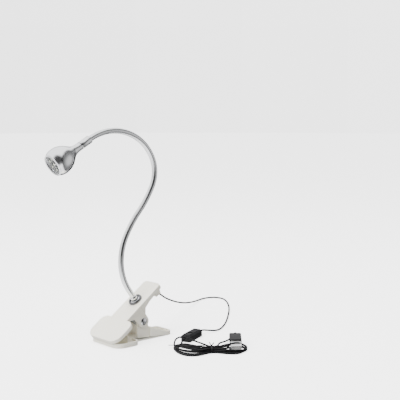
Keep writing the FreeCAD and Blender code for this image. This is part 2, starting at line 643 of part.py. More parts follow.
# ---------------------------------------------------------------- lead
def rounded_path(points):
    """Straight runs joined by tangent arcs, each as large as its two runs allow."""
    route = [vec(*p) for p in points]
    edges = []
    radii = []
    here = route[0]
    for before, corner, after in zip(route, route[1:], route[2:]):
        into = corner.sub(before)
        out = after.sub(corner)
        turn = into.getAngle(out)
        shorter = min(into.Length, out.Length)
        radius = 0.45 * shorter / math.tan(turn / 2)
        back = 0.45 * shorter
        into_unit = into * (1 / into.Length)
        out_unit = out * (1 / out.Length)
        start = corner.sub(into_unit * back)
        end = corner.add(out_unit * back)
        to_centre = out_unit.sub(into_unit)
        to_centre = to_centre * (1 / to_centre.Length)
        centre = corner.add(to_centre * (radius / math.cos(turn / 2)))
        middle = centre.sub(to_centre * radius)
        edges.append(Part.LineSegment(here, start).toShape())
        edges.append(Part.Arc(start, middle, end).toShape())
        radii.append(radius)
        here = end
    edges.append(Part.LineSegment(here, route[-1]).toShape())
    return Part.Wire(edges), radii


def tube_along(name, points):
    """Lead of round section along a route, with its arcs' radii printed."""
    path, radii = rounded_path(points)
    way = vec(*points[1]).sub(vec(*points[0]))
    circle = Part.Wire([Part.makeCircle(CORD_R, vec(*points[0]), way)])
    tube = path.makePipeShell([circle], True, True)
    ideal = math.pi * CORD_R ** 2 * path.Length
    print("%s: length %.1f, volume %.1f of %.1f, radii %s" % (
        name, path.Length, tube.Volume, ideal, " ".join("%.1f" % r for r in radii)))
    return tube


def switch_frame(shape):
    placed = shape.copy()
    placed.rotate(vec(0), vec(0, 0, 1), SWITCH_TURN)
    placed.translate(vec(SWITCH_AT[0], SWITCH_AT[1], 0))
    return placed


def build_switch():
    """Two-part housing with a push button on top, at the end away from the clip."""
    length, width, height = SWITCH_LENGTH, SWITCH_WIDTH, SWITCH_HEIGHT
    split = SWITCH_SPLIT

    def bevelled(z_low, z_high, bevel_low, bevel_high):
        """Block with its long bottom or top edges bevelled."""
        half = width / 2
        points = [vec(0, -half + bevel_low, z_low), vec(0, half - bevel_low, z_low),
                  vec(0, half, z_low + bevel_low), vec(0, half, z_high - bevel_high),
                  vec(0, half - bevel_high, z_high), vec(0, -half + bevel_high, z_high),
                  vec(0, -half, z_high - bevel_high), vec(0, -half, z_low + bevel_low)]
        unique = [p for i, p in enumerate(points) if p.sub(points[i - 1]).Length > 1e-6]
        block = prism(unique, vec(length, 0, 0))
        block.translate(vec(-length / 2, 0, 0))
        return block

    entry = across_x(CORD_R + 0.25, length, ENTRY_HEIGHT)
    base = bevelled(0.0, split, 0.6, 0.0)
    base = base.cut(box(length - 3.2, width - 3.2, split, (-length / 2 + 1.6, -width / 2 + 1.6, 1.4)))
    for x in (-length / 2 + 4.0, length / 2 - 4.0):
        base = base.fuse(Part.makeCylinder(1.9, 3.4, vec(x, 0, 1.0)))
        base = base.cut(Part.makeCylinder(1.7, 0.8, vec(x, 0, -0.1)))
        base = base.cut(Part.makeCylinder(0.8, 6, vec(x, 0, -0.5)))
    base = base.cut(entry)
    cover = bevelled(split + 0.15, height, 0.0, 2.2)
    for side in (-1, 1):
        outside = side * (length / 2 + 1)
        corners = [(outside, height + 1), (side * (length / 2 - 2.6), height + 1),
                   (side * (length / 2 - 1.6), height), (outside, height - 3.4)]
        wedge = prism([vec(x, -20, z) for x, z in corners], vec(0, 40, 0))
        cover = cover.cut(wedge)
    cover = cover.cut(box(length - 3.2, width - 4.4, 2.4, (-length / 2 + 1.6, -width / 2 + 2.2, split)))
    cover = cover.cut(entry)
    button_at = -length / 2 + 12.0
    well = Part.makeCylinder(2.95, 10, vec(button_at, 0, split))
    cover = cover.cut(well)
    cap = turned_profile([(0, height - 2.4), (3.6, height - 2.4), (3.6, height - 1.9), (2.7, height - 1.9),
                          (2.7, height + 0.8), (0, height + 1.4)],
                         {4: cap_middle(2.7, height + 0.8, height + 1.4)})
    cap.translate(vec(button_at, 0, 0))
    cover = cover.cut(Part.makeCylinder(3.9, 3.4, vec(button_at, 0, height - 1.75 - 3.4)))
    board = box(BOARD_LENGTH, width - 4.4, 1.0, (-length / 2 + 7.6, -width / 2 + 2.2, 2.4))
    board = board.cut(across_x(CORD_R + 0.25, length, ENTRY_HEIGHT))
    tact_top = height - 2.4 - BUTTON_TRAVEL - 0.05
    tact = box(4.4, 4.4, tact_top - 0.4 - 3.4, (button_at - 2.2, -2.2, 3.4))
    tact = tact.fuse(Part.makeCylinder(1.2, 0.4, vec(button_at, 0, tact_top - 0.4)))
    reliefs = []
    for side in (-1, 1):
        boot = turned_profile([(CORD_R, 0), (1.9, 0), (1.25, 3.0), (CORD_R, 3.0)])
        boot.rotate(vec(0), vec(0, 1, 0), side * 90)
        boot.translate(vec(side * length / 2, 0, ENTRY_HEIGHT))
        reliefs.append(switch_frame(boot))
    screws = []
    for x in (-length / 2 + 4.0, length / 2 - 4.0):
        head = Part.makeCylinder(1.5, 0.6, vec(x, 0, 0.05))
        screw = head.fuse(Part.makeCylinder(0.8, 4.0, vec(x, 0, 0.6)))
        screws.append(switch_frame(screw.cut(box(2.4, 0.4, 0.3, (x - 1.2, -0.2, 0.0)))))
    save("switch_base", switch_frame(base.removeSplitter()))
    save("switch_cover", switch_frame(cover.removeSplitter()))
    save("switch_button", switch_frame(cap))
    save("switch_board", switch_frame(board.fuse(tact).removeSplitter()))
    save("switch_boots", Part.makeCompound(reliefs))
    save("switch_screws", Part.makeCompound(screws))


def across_x(radius, length, z):
    return Part.makeCylinder(radius, length + 4, vec(-length / 2 - 2, 0, z), vec(1, 0, 0))


def hank_frame(shape):
    placed = shape.copy()
    placed.rotate(vec(0), vec(0, 0, 1), HANK_TURN)
    placed.translate(vec(HANK_AT[0], HANK_AT[1], 0))
    return placed


def build_hank():
    """Outer shape of the folded lead: two flat lobes and the bundle at the tie."""
    tie = TIE_OFFSET
    left = -HANK_HALF
    right = HANK_HALF
    points = [vec(-4, tie + 6), vec(left + 9, 26), vec(left, 6), vec(left + 12, -29), vec(left + 26, -28),
              vec(-4, tie - 6), vec(4, tie - 6), vec(14, -25), vec(right - 10, -21), vec(right, -6),
              vec(right - 13, 22), vec(16, 19), vec(4, tie + 6)]
    arcs = {1: vec(left + 1, 18), 2: vec(left + 3.5, -16), 8: vec(right - 3, -14.5), 9: vec(right - 4, 10)}
    lobes = prism(points, vec(0, 0, HANK_HEIGHT), arcs)
    bundle = box(11.0, 11.0, TIE_HEIGHT - HANK_HEIGHT, (-5.5, tie - 5.5, HANK_HEIGHT - 1))
    length = OVERMOULD[0] + USB_SHELL[0]
    width = OVERMOULD[1] + 2 * PLUG_ROOM
    pocket = box(length, width, 30, (-OVERMOULD[0] - PLUG_ROOM, -width / 2, -OVERMOULD[2] / 2 - PLUG_ROOM))
    hank = hank_frame(lobes.fuse(bundle).removeSplitter()).cut(plug_frame(pocket))
    save("cord_hank", max(hank.Solids, key=lambda solid: solid.Volume))
    top = TIE_HEIGHT - 1 + 0.05
    loop = box(3.4, 12.4, 0.5, (-1.7, tie - 6.2, top))
    loop = loop.fuse(box(3.4, 0.5, top - HANK_HEIGHT, (-1.7, tie - 6.2, HANK_HEIGHT + 0.1)))
    loop = loop.fuse(box(3.4, 0.5, top - HANK_HEIGHT, (-1.7, tie + 5.7, HANK_HEIGHT + 0.1)))
    ears = box(0.7, 2.4, 3.6, (-1.4, tie - 1.0, top + 0.3))
    ears = ears.fuse(box(0.7, 2.4, 3.0, (0.7, tie - 1.0, top + 0.3)))
    save("hank_tie", hank_frame(loop.fuse(ears).removeSplitter()))


def plug_frame(shape):
    placed = shape.copy()
    placed.rotate(vec(0), vec(0, 1, 0), PLUG_DIP)
    placed.rotate(vec(0), vec(0, 0, 1), PLUG_TURN)
    placed.translate(vec(PLUG_AT[0], PLUG_AT[1], PLUG_HEIGHT))
    return placed


def build_plug():
    """USB plug, +X out of its mouth; x 0 is the front face of the overmould."""
    length, width, height = OVERMOULD
    body = box(length, width, height, (-length, -width / 2, -height / 2))
    body = soften(body, lambda e: abs(e.tangentAt(e.FirstParameter).x) > 0.9, 1.6)
    body = soften(body, lambda e: e.BoundBox.XMax < -length + 0.01, 1.2)
    shell_x, shell_y, shell_z = USB_SHELL
    seat = 5.0
    body = body.cut(box(seat, shell_y, shell_z, (-seat, -shell_y / 2, -shell_z / 2)))
    body = body.cut(Part.makeCylinder(CORD_R, 8, vec(-length - 1, 0, 0), vec(1, 0, 0)))
    shell = box(shell_x, shell_y, shell_z, (-seat, -shell_y / 2, -shell_z / 2))
    shell = shell.cut(box(shell_x, shell_y - 2 * USB_WALL, shell_z - 2 * USB_WALL,
                          (-seat + 1.0, -shell_y / 2 + USB_WALL, -shell_z / 2 + USB_WALL)))
    for y in (-4.2, 2.2):
        shell = shell.cut(box(2.2, 2.0, 20, (shell_x - seat - 8.4, y, -10)))
    tongue = box(shell_x - 3.0, shell_y - 2 * USB_WALL - 0.1, 1.8,
                 (-seat + 1.0, -shell_y / 2 + USB_WALL + 0.05, -shell_z / 2 + USB_WALL + 0.02))
    contacts = []
    for y in (-3.5, -1.0, 1.0, 3.5):
        contacts.append(plug_frame(box(9.0, 1.0, 0.2, (shell_x - seat - 11.6, y - 0.5,
                                                      -shell_z / 2 + USB_WALL + 1.83))))
    save("plug_overmould", plug_frame(body))
    save("plug_shell", plug_frame(shell.removeSplitter()))
    save("plug_tongue", plug_frame(tongue))
    save("plug_contacts", Part.makeCompound(contacts))


build_clip()
build_head(build_neck())
save("cord_lead", tube_along("cord_lead", LEAD_ROUTE))
save("cord_tail", tube_along("cord_tail", TAIL_ROUTE))
save("cord_end", tube_along("cord_end", END_ROUTE))
build_switch()
build_hank()
build_plug()
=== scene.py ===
"""Clip-on reading lamp: the look of every piece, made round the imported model.

Lengths inside the classes are millimetres, as in the part's source, and meshes are metres.
"""
import logging
import math
from dataclasses import dataclass
from enum import Enum
from typing import Iterable, Sequence

import bmesh
import bpy
from mathutils import Matrix, Vector


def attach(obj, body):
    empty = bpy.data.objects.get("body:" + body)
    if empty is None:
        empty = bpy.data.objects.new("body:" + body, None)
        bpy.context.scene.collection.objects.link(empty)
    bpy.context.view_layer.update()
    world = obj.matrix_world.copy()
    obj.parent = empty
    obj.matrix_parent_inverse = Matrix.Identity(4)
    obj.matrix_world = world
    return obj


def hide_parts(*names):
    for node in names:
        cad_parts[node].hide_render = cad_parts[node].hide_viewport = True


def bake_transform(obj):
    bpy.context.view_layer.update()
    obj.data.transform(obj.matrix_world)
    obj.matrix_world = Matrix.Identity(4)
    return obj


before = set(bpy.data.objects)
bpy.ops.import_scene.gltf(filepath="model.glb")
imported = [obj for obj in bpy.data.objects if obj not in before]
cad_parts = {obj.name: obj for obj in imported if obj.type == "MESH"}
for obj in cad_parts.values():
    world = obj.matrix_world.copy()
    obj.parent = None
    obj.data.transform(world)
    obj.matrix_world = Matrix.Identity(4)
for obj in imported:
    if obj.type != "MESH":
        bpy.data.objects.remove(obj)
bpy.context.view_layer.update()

MM = 0.001
LOG = logging.getLogger("lamp")

Colour = tuple[float, float, float]
Pair = tuple[float, float]
Point = tuple[float, float, float]


# ------------------------------------------------------------------ finishes
class Grain(Enum):
    """How a finish's fine pattern is stretched over Object coordinates."""

    EVEN = (1.0, 1.0, 1.0)
    DRAWN = (0.06, 1.0, 1.0)
    ROLLED = (1.0, 0.08, 1.0)


@dataclass(frozen=True)
class Finish:
    """A procedural surface: two close colours, a roughness range and a fine relief."""

    name: str
    light: Colour
    deep: Colour
    roughness: Pair
    metallic: float = 0.0
    grain: Grain = Grain.EVEN
    grain_scale: float = 1400.0
    cloud_scale: float = 45.0
    relief: float = 0.01
    coat: float = 0.0
    transmission: float = 0.0
    ior: float = 1.46
    subsurface: float = 0.0
    glow: float = 0.0
    specular: float = 0.5

    def material(self) -> bpy.types.Material:
        """Return this finish's material, built on its first use.

        Returns:
            The Blender material with its node tree.
        """
        known = bpy.data.materials.get(self.name)
        if known is not None:
            return known
        made = bpy.data.materials.new(self.name)
        made.use_nodes = True
        tree = made.node_tree
        shader = tree.nodes["Principled BSDF"]
        shader.inputs["Metallic"].default_value = self.metallic
        shader.inputs["Coat Weight"].default_value = self.coat
        shader.inputs["Coat Roughness"].default_value = 0.12
        shader.inputs["Transmission Weight"].default_value = self.transmission
        shader.inputs["IOR"].default_value = self.ior
        shader.inputs["Specular IOR Level"].default_value = self.specular
        shader.inputs["Subsurface Weight"].default_value = self.subsurface
        shader.inputs["Subsurface Radius"].default_value = (1.0, 0.9, 0.7)
        shader.inputs["Subsurface Scale"].default_value = 1.5 * MM
        shader.inputs["Emission Color"].default_value = (*self.light, 1.0)
        shader.inputs["Emission Strength"].default_value = self.glow
        self._surface(tree, shader)
        return made

    def _surface(self, tree: bpy.types.NodeTree, shader: bpy.types.Node) -> None:
        """Wire cloudy colour, uneven roughness and fine relief into the shader.

        Args:
            tree: The material's node tree.
            shader: Its principled shader node.
        """
        nodes, links = tree.nodes, tree.links
        coords = nodes.new("ShaderNodeTexCoord")
        stretch = nodes.new("ShaderNodeMapping")
        stretch.inputs["Scale"].default_value = self.grain.value
        links.new(coords.outputs["Object"], stretch.inputs["Vector"])
        fine = nodes.new("ShaderNodeTexNoise")
        fine.inputs["Scale"].default_value = self.grain_scale
        fine.inputs["Detail"].default_value = 3.0
        links.new(stretch.outputs["Vector"], fine.inputs["Vector"])
        cloud = nodes.new("ShaderNodeTexNoise")
        cloud.inputs["Scale"].default_value = self.cloud_scale
        cloud.inputs["Detail"].default_value = 4.0
        links.new(coords.outputs["Object"], cloud.inputs["Vector"])

        blend = nodes.new("ShaderNodeMath")
        blend.operation = "MULTIPLY_ADD"
        blend.inputs[1].default_value = 0.35
        links.new(fine.outputs["Fac"], blend.inputs[0])
        part = nodes.new("ShaderNodeMath")
        part.operation = "MULTIPLY"
        part.inputs[1].default_value = 0.65
        links.new(cloud.outputs["Fac"], part.inputs[0])
        links.new(part.outputs[0], blend.inputs[2])

        ramp = nodes.new("ShaderNodeValToRGB")
        ramp.color_ramp.elements[0].position = 0.32
        ramp.color_ramp.elements[0].color = (*self.deep, 1.0)
        ramp.color_ramp.elements[1].position = 0.68
        ramp.color_ramp.elements[1].color = (*self.light, 1.0)
        links.new(blend.outputs[0], ramp.inputs["Fac"])
        links.new(ramp.outputs["Color"], shader.inputs["Base Color"])

        span = nodes.new("ShaderNodeMapRange")
        span.inputs["To Min"].default_value = self.roughness[0]
        span.inputs["To Max"].default_value = self.roughness[1]
        links.new(cloud.outputs["Fac"], span.inputs["Value"])
        links.new(span.outputs["Result"], shader.inputs["Roughness"])

        bump = nodes.new("ShaderNodeBump")
        bump.inputs["Strength"].default_value = 0.35
        bump.inputs["Distance"].default_value = self.relief * MM
        links.new(fine.outputs["Fac"], bump.inputs["Height"])
        links.new(bump.outputs["Normal"], shader.inputs["Normal"])


IVORY = Finish("ivory_moulding", (0.87, 0.845, 0.75), (0.84, 0.81, 0.70), (0.36, 0.48),
               relief=0.02, grain_scale=900.0, subsurface=0.12)
PAD = Finish("soft_pad", (0.66, 0.62, 0.48), (0.56, 0.52, 0.38), (0.45, 0.60), relief=0.05, subsurface=0.3)
CHROME = Finish("bright_chrome", (0.86, 0.87, 0.88), (0.80, 0.81, 0.83), (0.10, 0.16), metallic=1.0, relief=0.002)
DARK_CHROME = Finish("smoked_chrome", (0.16, 0.16, 0.17), (0.10, 0.10, 0.11), (0.14, 0.24), metallic=1.0)
SILVER = Finish("polished_silver", (0.90, 0.905, 0.92), (0.85, 0.86, 0.88), (0.17, 0.24), metallic=1.0,
                relief=0.003)
WIRE_STEEL = Finish("drawn_steel", (0.45, 0.46, 0.48), (0.30, 0.31, 0.33), (0.22, 0.38), metallic=1.0,
                    grain=Grain.DRAWN)
ZINC = Finish("zinc_plate", (0.72, 0.74, 0.76), (0.58, 0.60, 0.62), (0.25, 0.42), metallic=1.0, relief=0.01)
CLEAR = Finish("clear_cap", (0.97, 0.98, 0.99), (0.93, 0.95, 0.96), (0.01, 0.05), transmission=1.0, relief=0.001,
               ior=1.25, specular=0.35)
MIRROR_CUP = Finish("grey_reflector", (0.20, 0.20, 0.19), (0.08, 0.08, 0.08), (0.25, 0.45), metallic=0.6)
LED_DOME = Finish("led_dome", (0.62, 0.62, 0.52), (0.50, 0.52, 0.40), (0.15, 0.25), subsurface=0.2)
BOARD = Finish("lacquered_board", (0.05, 0.22, 0.11), (0.03, 0.15, 0.08), (0.30, 0.50))
CAST = Finish("cast_sink", (0.62, 0.63, 0.64), (0.48, 0.49, 0.50), (0.35, 0.55), metallic=1.0, relief=0.03)
JACKET = Finish("cord_jacket", (0.006, 0.006, 0.007), (0.003, 0.003, 0.004), (0.34, 0.46), relief=0.01,
                specular=0.12)
BLACK = Finish("black_moulding", (0.012, 0.012, 0.013), (0.006, 0.006, 0.007), (0.34, 0.46), relief=0.02,
               grain_scale=1100.0, specular=0.2)
BLACK_RUBBER = Finish("black_rubber", (0.010, 0.010, 0.010), (0.005, 0.005, 0.005), (0.50, 0.68), relief=0.04,
                      specular=0.15)
NICKEL = Finish("nickel_shell", (0.34, 0.34, 0.34), (0.26, 0.26, 0.27), (0.26, 0.40), metallic=1.0,
                grain=Grain.ROLLED)
WHITE_INSERT = Finish("plug_insert", (0.70, 0.70, 0.69), (0.64, 0.64, 0.63), (0.35, 0.50))
GOLD = Finish("gold_flash", (0.92, 0.74, 0.38), (0.80, 0.62, 0.28), (0.14, 0.26), metallic=1.0)


# ------------------------------------------------------------------ mesh tools
def add_object(name: str, mesh: bpy.types.Mesh, finish: Finish) -> bpy.types.Object:
    """Put a mesh into the scene under a finish.

    Args:
        name: The piece's name.
        mesh: Its mesh, in metres and in the row frame.
        finish: Its finish.

    Returns:
        The new object, at the origin.
    """
    mesh.materials.clear()
    mesh.materials.append(finish.material())
    made = bpy.data.objects.new(name, mesh)
    bpy.context.collection.objects.link(made)
    return made


def settle(made: bpy.types.Object) -> bpy.types.Object:
    """Turn an object's evaluated shape into a plain mesh object of the same name.

    Args:
        made: An object with modifiers on it.

    Returns:
        The plain object that takes its place.
    """
    graph = bpy.context.evaluated_depsgraph_get()
    mesh = bpy.data.meshes.new_from_object(made.evaluated_get(graph))
    name = made.name
    finish = made.data.materials[0] if made.data.materials else mesh.materials[0]
    bpy.data.objects.remove(made)
    mesh.materials.clear()
    mesh.materials.append(finish)
    plain = bpy.data.objects.new(name, mesh)
    bpy.context.collection.objects.link(plain)
    return plain


def shade_by_angle(mesh: bpy.types.Mesh, degrees: float = 35.0) -> None:
    """Smooth a mesh, and keep the edges sharper than an angle crisp.

    Args:
        mesh: The mesh to shade.
        degrees: The sharpest angle that stays smooth.
    """
    mesh.shade_smooth()
    mesh.set_sharp_from_angle(angle=math.radians(degrees))


def lathe(name: str, outline: Sequence[Pair], place: Matrix, finish: Finish, steps: int = 96) -> bpy.types.Object:
    """Turn a closed outline about an axis.

    Args:
        name: The piece's name.
        outline: (radius, distance along the axis) in millimetres; the last point joins the first.
        place: From the axis' own frame (+Z along it) to the row frame.
        finish: The piece's finish.
        steps: Faces round the axis.

    Returns:
        The turned piece.
    """
    work = bmesh.new()
    rings = []
    for radius, along in outline:
        if radius < 1e-6:
            rings.append([work.verts.new((0.0, 0.0, along * MM))])
            continue
        ring = []
        for i in range(steps):
            angle = 2 * math.pi * i / steps
            ring.append(work.verts.new((radius * MM * math.cos(angle), radius * MM * math.sin(angle), along * MM)))
        rings.append(ring)
    for i, near in enumerate(rings):
        far = rings[(i + 1) % len(rings)]
        for k in range(steps):
            corners = [near[k % len(near)], near[(k + 1) % len(near)], far[(k + 1) % len(far)], far[k % len(far)]]
            unique = list(dict.fromkeys(corners))
            if len(unique) > 2:
                work.faces.new(unique)
    bmesh.ops.transform(work, matrix=place, verts=work.verts)
    bmesh.ops.recalc_face_normals(work, faces=work.faces)
    mesh = bpy.data.meshes.new(name)
    work.to_mesh(mesh)
    work.free()
    shade_by_angle(mesh)
    return add_object(name, mesh, finish)


def smooth_outline(points: Sequence[Pair], parts: int = 6) -> list[Pair]:
    """Draw a smooth curve through the points of an outline.

    Args:
        points: The points that the curve passes.
        parts: Steps between two points.

    Returns:
        The curve's points, ends included.
    """
    curve = []
    for i in range(len(points) - 1):
        p0 = Vector(points[max(i - 1, 0)])
        p1, p2 = Vector(points[i]), Vector(points[i + 1])
        p3 = Vector(points[min(i + 2, len(points) - 1)])
        for k in range(parts):
            t = k / parts
            point = 0.5 * ((2 * p1) + (p2 - p0) * t + (2 * p0 - 5 * p1 + 4 * p2 - p3) * t * t
                           + (3 * p1 - p0 - 3 * p2 + p3) * t * t * t)
            curve.append((point.x, point.y))
    return curve + [tuple(points[-1])]


def cap_outline(radius: float, edge: float, top: float, parts: int = 10) -> list[Pair]:
    """Draw a sphere's cap from its rim to the axis.

    Args:
        radius: The rim's radius.
        edge: The rim's place along the axis.
        top: Where the cap meets the axis.
        parts: Steps along the arc.

    Returns:
        Points from the rim to the axis.
    """
    rise = top - edge
    ball = (radius * radius + rise * rise) / (2 * rise)
    widest = math.asin(radius / abs(ball))
    points = []
    for i in range(parts + 1):
        angle = widest * (1 - i / parts)
        points.append((abs(ball) * math.sin(angle), top - ball + ball * math.cos(angle)))
    return points


def softened(node: str, finish: Finish, width: float = 0.35, segments: int = 3) -> bpy.types.Object:
    """Copy a moulded CAD node with its crisp edges rounded, and let the copy stand for it.

    Args:
        node: The CAD node.
        finish: The copy's finish.
        width: How far the rounding reaches from an edge, in millimetres.
        segments: Steps across the rounding.

    Returns:
        The rounded piece, riding with the node's body.
    """
    work = bmesh.new()
    work.from_mesh(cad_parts[node].data)
    bmesh.ops.remove_doubles(work, verts=work.verts, dist=0.002 * MM)
    bmesh.ops.dissolve_limit(work, angle_limit=math.radians(0.6), verts=work.verts, edges=work.edges)
    mesh = bpy.data.meshes.new(node + "_moulding")
    work.to_mesh(mesh)
    work.free()
    made = add_object(node + "_moulding", mesh, finish)
    bevel = made.modifiers.new("rounded edges", "BEVEL")
    bevel.width = width * MM
    bevel.segments = segments
    bevel.limit_method = "ANGLE"
    bevel.angle_limit = math.radians(40)
    bevel.use_clamp_overlap = True
    plain = settle(made)
    shade_by_angle(plain.data, 30.0)
    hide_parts(node)
    return plain


def dress(finish: Finish, *nodes: str) -> None:
    """Give CAD nodes a finish.

    Args:
        finish: The finish.
        nodes: The CAD nodes that keep their own shape.
    """
    for node in nodes:
        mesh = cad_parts[node].data
        mesh.materials.clear()
        mesh.materials.append(finish.material())
        LOG.info("dressed %s with %s", node, finish.name)


# ------------------------------------------------------------------ node trees
class TreeMaker:
    """A geometry node tree in the making, with named inputs."""

    def __init__(self, name: str) -> None:
        """Start an empty tree with a geometry input and output."""
        self.tree = bpy.data.node_groups.new(name, "GeometryNodeTree")
        self.face = self.tree.interface
        self.face.new_socket("Geometry", in_out="INPUT", socket_type="NodeSocketGeometry")
        self.face.new_socket("Geometry", in_out="OUTPUT", socket_type="NodeSocketGeometry")
        self.start = None
        self.end = self.tree.nodes.new("NodeGroupOutput")

    def number(self, name: str, value: float) -> None:
        """Declare a named number input with its default value."""
        socket = self.face.new_socket(name, in_out="INPUT", socket_type="NodeSocketFloat")
        socket.default_value = value

    def count(self, name: str, value: int) -> None:
        """Declare a named whole-number input with its default value."""
        socket = self.face.new_socket(name, in_out="INPUT", socket_type="NodeSocketInt")
        socket.default_value = value

    def inputs(self) -> bpy.types.Node:
        """Return the group input node, made once every input is declared."""
        if self.start is None:
            self.start = self.tree.nodes.new("NodeGroupInput")
        return self.start

    def node(self, kind: str, **settings: object) -> bpy.types.Node:
        """Add a node and set its properties."""
        made = self.tree.nodes.new(kind)
        for key, value in settings.items():
            setattr(made, key, value)
        return made

    def join(self, source: bpy.types.NodeSocket, target: bpy.types.NodeSocket) -> None:
        """Link two sockets."""
        self.tree.links.new(source, target)

    def maths(self, operation: str, first: object, second: object = None) -> bpy.types.NodeSocket:
        """Add a Math node whose operands are sockets or numbers.

        Args:
            operation: The Math node's operation.
            first: A socket or a number.
            second: A socket, a number or nothing.

        Returns:
            The node's output socket.
        """
        node = self.node("ShaderNodeMath", operation=operation)
        for i, value in enumerate((first, second)):
            if isinstance(value, bpy.types.NodeSocket):
                self.join(value, node.inputs[i])
            elif value is not None:
                node.inputs[i].default_value = value
        return node.outputs[0]

    def finish(self, geometry: bpy.types.NodeSocket, finish: Finish) -> bpy.types.NodeTree:
        """End the tree in Realize Instances and Set Material.

        Args:
            geometry: The geometry to send out.
            finish: The finish it gets.

        Returns:
            The finished tree.
        """
        real = self.node("GeometryNodeRealizeInstances")
        self.join(geometry, real.inputs["Geometry"])
        paint = self.node("GeometryNodeSetMaterial")
        paint.inputs["Material"].default_value = finish.material()
        self.join(real.outputs["Geometry"], paint.inputs["Geometry"])
        self.join(paint.outputs["Geometry"], self.end.inputs["Geometry"])
        return self.tree


def apply_tree(base: bpy.types.Object, tree: bpy.types.NodeTree, values: dict[str, float]) -> bpy.types.Object:
    """Run a node tree on an object and keep the result as a plain mesh.

    Args:
        base: The object that the tree starts from.
        tree: The geometry node tree.
        values: Values by input name.

    Returns:
        The resulting piece.
    """
    modifier = base.modifiers.new("shape", "NODES")
    modifier.node_group = tree
    for item in tree.interface.items_tree:
        if item.in_out == "INPUT" and item.name in values:
            modifier[item.identifier] = values[item.name]
    return settle(base)


def line_object(name: str, points: Iterable[Vector], finish: Finish) -> bpy.types.Object:
    """Make a mesh of one open chain of edges.

    Args:
        name: The object's name.
        points: Its points in the row frame, in metres.
        finish: The finish of what is made from it.

    Returns:
        The chain as an object.
    """
    chain = list(points)
    mesh = bpy.data.meshes.new(name)
    mesh.from_pydata(chain, [(i, i + 1) for i in range(len(chain) - 1)], [])
    return add_object(name, mesh, finish)


def wound_tree(name: str, finish: Finish) -> bpy.types.NodeTree:
    """Build the tree of a tube along a line, whose radius swells and sinks once in each pitch.

    Args:
        name: The tree's name.
        finish: The tube's finish.

    Returns:
        The node tree.
    """
    maker = TreeMaker(name)
    maker.number("Radius", 3.2 * MM)
    maker.number("Depth", 0.1 * MM)
    maker.number("Pitch", 1.0 * MM)
    maker.number("Offset", 0.0)
    maker.count("Rings", 64)
    maker.count("Sides", 32)
    given = maker.inputs()
    curve = maker.node("GeometryNodeMeshToCurve")
    maker.join(given.outputs["Geometry"], curve.inputs["Mesh"])
    even = maker.node("GeometryNodeResampleCurve")
    maker.join(curve.outputs["Curve"], even.inputs["Curve"])
    maker.join(given.outputs["Rings"], even.inputs["Count"])
    place = maker.node("GeometryNodeSplineParameter")
    along = maker.maths("ADD", place.outputs["Length"], given.outputs["Offset"])
    turn = maker.maths("FRACT", maker.maths("DIVIDE", along, given.outputs["Pitch"]))
    hump = maker.maths("POWER", maker.maths("SINE", maker.maths("MULTIPLY", turn, math.pi)), 0.6)
    dip = maker.maths("MULTIPLY", maker.maths("SUBTRACT", 1.0, hump), given.outputs["Depth"])
    radius = maker.maths("SUBTRACT", given.outputs["Radius"], dip)
    circle = maker.node("GeometryNodeCurvePrimitiveCircle")
    circle.inputs["Radius"].default_value = 1.0
    maker.join(given.outputs["Sides"], circle.inputs["Resolution"])
    tube = maker.node("GeometryNodeCurveToMesh")
    maker.join(circle.outputs["Curve"], tube.inputs["Profile Curve"])
    tube.inputs["Fill Caps"].default_value = True
    if "Scale" in tube.inputs:
        maker.join(even.outputs["Curve"], tube.inputs["Curve"])
        maker.join(radius, tube.inputs["Scale"])
    else:
        sized = maker.node("GeometryNodeSetCurveRadius")
        maker.join(even.outputs["Curve"], sized.inputs["Curve"])
        maker.join(radius, sized.inputs["Radius"])
        maker.join(sized.outputs["Curve"], tube.inputs["Curve"])
    return maker.finish(tube.outputs["Mesh"], finish)


